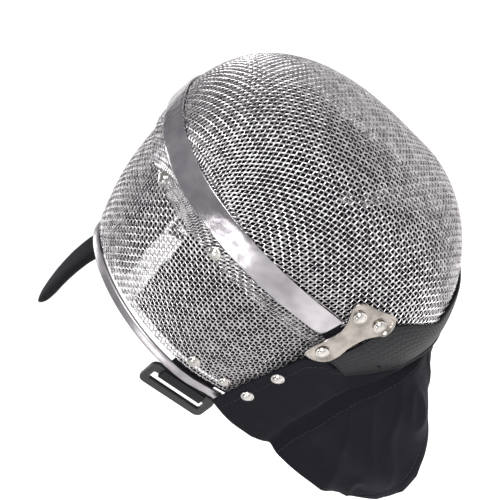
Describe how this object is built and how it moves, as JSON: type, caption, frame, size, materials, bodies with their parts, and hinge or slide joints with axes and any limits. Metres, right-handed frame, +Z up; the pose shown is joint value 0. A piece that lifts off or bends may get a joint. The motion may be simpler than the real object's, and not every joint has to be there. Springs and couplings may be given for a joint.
{
  "type": "fencing mask",
  "caption": "Steel-mesh fencing mask with forehead band, ear brackets, rear rim, black throat bib, padded tongue, inner pads and side strap buckles.",
  "frame": {"origin": "middle of the wearer's head at the height of the ear brackets, where the mask sits on the head", "axes": "+Z up through the crown, -Y out of the face, +X to the wearer's left"},
  "size_m": [0.215, 0.309, 0.3109],
  "materials": {
    "wire": "bright woven stainless wire",
    "strip": "polished strip",
    "plate": "nickelled pressed plate",
    "bib_cloth": "black woven cloth",
    "edging": "black coated edging",
    "padding": "black padded cloth",
    "buckle": "moulded black acetal",
    "webbing": "black webbing"
  },
  "bodies": {
    "root": {"face_mesh": "wire", "back_mesh": "wire", "forehead_band": "strip", "rear_rim": "strip", "chin_trim": "edging", "bib": "bib_cloth", "tongue": "padding", "crown_pad": "padding", "side_pad_right": "padding", "side_pad_left": "padding", "ear_bracket_right": "plate", "bracket_rivet_right_1": "plate", "bracket_rivet_right_2": "plate", "bracket_rivet_right_3": "plate", "mesh_rivet_right_1": "plate", "mesh_rivet_right_2": "plate", "mesh_rivet_right_3": "plate", "mesh_rivet_right_4": "plate", "cloth_rivet_right_1": "plate", "cloth_rivet_right_2": "plate", "buckle_right": "buckle", "strap_tab_right": "webbing", "ear_bracket_left": "plate", "bracket_rivet_left_1": "plate", "bracket_rivet_left_2": "plate", "bracket_rivet_left_3": "plate", "mesh_rivet_left_1": "plate", "mesh_rivet_left_2": "plate", "mesh_rivet_left_3": "plate", "mesh_rivet_left_4": "plate", "cloth_rivet_left_1": "plate", "cloth_rivet_left_2": "plate", "buckle_left": "buckle", "strap_tab_left": "webbing"}
  },
  "joints": []
}
